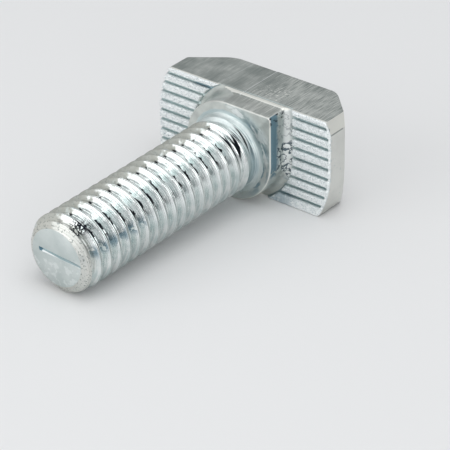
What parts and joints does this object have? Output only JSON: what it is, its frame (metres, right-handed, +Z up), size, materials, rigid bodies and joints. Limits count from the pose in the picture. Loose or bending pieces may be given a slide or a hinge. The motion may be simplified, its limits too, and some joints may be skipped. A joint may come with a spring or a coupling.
{
  "type": "t slot bolt",
  "caption": "Hammer-head T-slot bolt with serrated bearing pads, a collar that fits the slot's mouth and a rolled metric thread, bright zinc plated.",
  "frame": {"origin": "middle of the bounding box, on the surface that the bolt lies on", "axes": "+X along the bolt from its head to its tip, +Z up from the surface, +Y along the head's long side. The bolt lies as it comes to rest, so the shank points about 3 degrees down towards its tip."},
  "size_m": [0.025, 0.016, 0.0082],
  "materials": {
    "zinc": "bright blue-white zinc plate on steel"
  },
  "bodies": {
    "root": {"t_slot_bolt": "zinc"}
  },
  "joints": []
}
